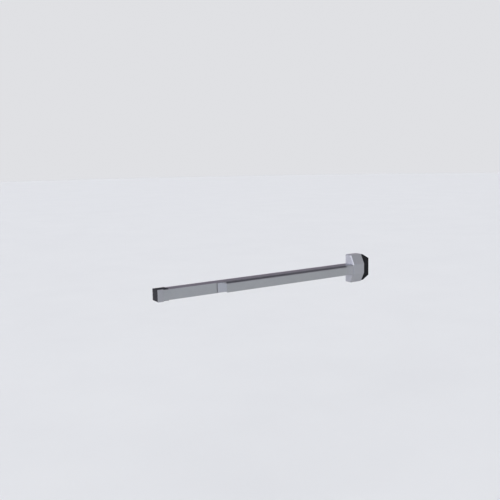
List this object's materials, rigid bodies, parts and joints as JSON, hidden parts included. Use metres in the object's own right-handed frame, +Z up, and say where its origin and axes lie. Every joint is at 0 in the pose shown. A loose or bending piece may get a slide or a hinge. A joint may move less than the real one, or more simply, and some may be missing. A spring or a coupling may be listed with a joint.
{
  "type": "panic exit bar",
  "caption": "Touch-bar rim exit device for a door: a long push pad in a rail, a faceted latch head at one end, and a black strike for the frame.",
  "frame": {"origin": "centre of the latch head's back face, on the door's face", "axes": "+X along the bar towards the latch and strike, +Y into the door, +Z up"},
  "size_m": [1.2605, 0.066, 0.148],
  "materials": {
    "satin_aluminium": "satin, fine lengthwise grain",
    "silver_casting": "silver powder coat",
    "black_casting": "black powder coat",
    "black_moulding": "fine moulded grain",
    "zinc_steel": "zinc plated",
    "bolt_steel": "ground and polished",
    "spring_steel": "oiled spring wire",
    "rubber": "matt"
  },
  "bodies": {
    "frame": {"rail_channel": "satin_aluminium", "rail_cover": "satin_aluminium", "end_cap": "black_moulding", "end_cap_face": "silver_casting", "end_bracket": "zinc_steel", "end_bracket_screw_1": "zinc_steel", "end_bracket_screw_2": "zinc_steel", "end_cap_screw": "black_casting", "head_baseplate": "zinc_steel", "head_cover": "silver_casting", "head_cover_screw_top": "zinc_steel", "head_cover_screw_bottom": "zinc_steel", "head_mount_screw_1": "zinc_steel", "head_mount_screw_2": "zinc_steel", "head_mount_screw_3": "zinc_steel", "head_mount_screw_4": "zinc_steel", "latch_case": "zinc_steel", "aux_guide": "zinc_steel", "aux_spring": "spring_steel", "lever_post": "bolt_steel", "lever_clip": "spring_steel", "lever_spring": "spring_steel", "crank_bracket_left": "zinc_steel", "crank_bracket_right": "zinc_steel", "crank_pin_left": "bolt_steel", "crank_pin_right": "bolt_steel", "rod_guide_left": "black_moulding", "rod_guide_right": "black_moulding", "bumper_left": "rubber", "bumper_right": "rubber", "crank_screw_left_1": "zinc_steel", "crank_screw_left_2": "zinc_steel", "crank_screw_right_1": "zinc_steel", "crank_screw_right_2": "zinc_steel", "return_spring_left": "spring_steel", "return_spring_right": "spring_steel", "strike_shim": "zinc_steel", "strike_body": "black_casting", "strike_pin": "bolt_steel", "strike_screw_1": "black_casting", "strike_screw_2": "black_casting"},
    "push_bar": {"push_pad": "satin_aluminium", "pad_cap_left": "silver_casting", "pad_cap_right": "silver_casting", "pad_bracket_left": "zinc_steel", "pad_bracket_right": "zinc_steel"},
    "pull_rod": {"pull_rod": "zinc_steel", "rod_end_block": "zinc_steel", "rod_collar_left": "zinc_steel", "rod_collar_right": "zinc_steel"},
    "crank_left": {"crank_left": "zinc_steel"},
    "crank_right": {"crank_right": "zinc_steel"},
    "lever": {"lever": "zinc_steel"},
    "latch_bolt": {"latch_bolt": "bolt_steel"},
    "aux_latch": {"aux_latch": "bolt_steel"},
    "strike_roller": {"strike_roller": "bolt_steel"}
  },
  "joints": [
    {"name": "push", "type": "slide", "parent": "frame", "child": "push_bar", "axis": [0, 1, 0], "range_m": [0, 0.013], "stiffness_N_per_m": 2200, "springref_m": -0.007, "deforming": ["return_spring_left", "return_spring_right", "lever_spring"]},
    {"name": "crank_left_turn", "type": "hinge", "parent": "frame", "child": "crank_left", "pos_m": [-0.79, -0.02596, 0], "axis": [0, 0, 1], "range_deg": [0, 42.5]},
    {"name": "crank_right_turn", "type": "hinge", "parent": "frame", "child": "crank_right", "pos_m": [-0.12, -0.02596, 0], "axis": [0, 0, 1], "range_deg": [0, 42.5]},
    {"name": "rod_pull", "type": "slide", "parent": "frame", "child": "pull_rod", "axis": [-1, 0, 0], "range_m": [0, 0.0117]},
    {"name": "lever_turn", "type": "hinge", "parent": "frame", "child": "lever", "pos_m": [-0.02, -0.0385, -0.036], "axis": [0, -1, 0], "range_deg": [0, 18.6]},
    {"name": "latch_retract", "type": "slide", "parent": "frame", "child": "latch_bolt", "axis": [-1, 0, 0], "range_m": [0, 0.0181]},
    {"name": "aux_retract", "type": "slide", "parent": "frame", "child": "aux_latch", "axis": [-1, 0, 0], "range_m": [0, 0.012], "stiffness_N_per_m": 350, "springref_m": -0.006, "deforming": ["aux_spring"]},
    {"name": "roller_spin", "type": "hinge", "parent": "frame", "child": "strike_roller", "pos_m": [0.052, -0.01, 0], "axis": [0, 0, 1], "continuous": true}
  ],
  "couplings": [
    {"joint": "crank_left_turn", "follows": "push", "rad_per_m": 56.84},
    {"joint": "crank_right_turn", "follows": "push", "rad_per_m": 56.84},
    {"joint": "rod_pull", "follows": "push", "ratio": 0.88889},
    {"joint": "lever_turn", "follows": "push", "rad_per_m": 24.799},
    {"joint": "latch_retract", "follows": "push", "ratio": 1.3827}
  ]
}
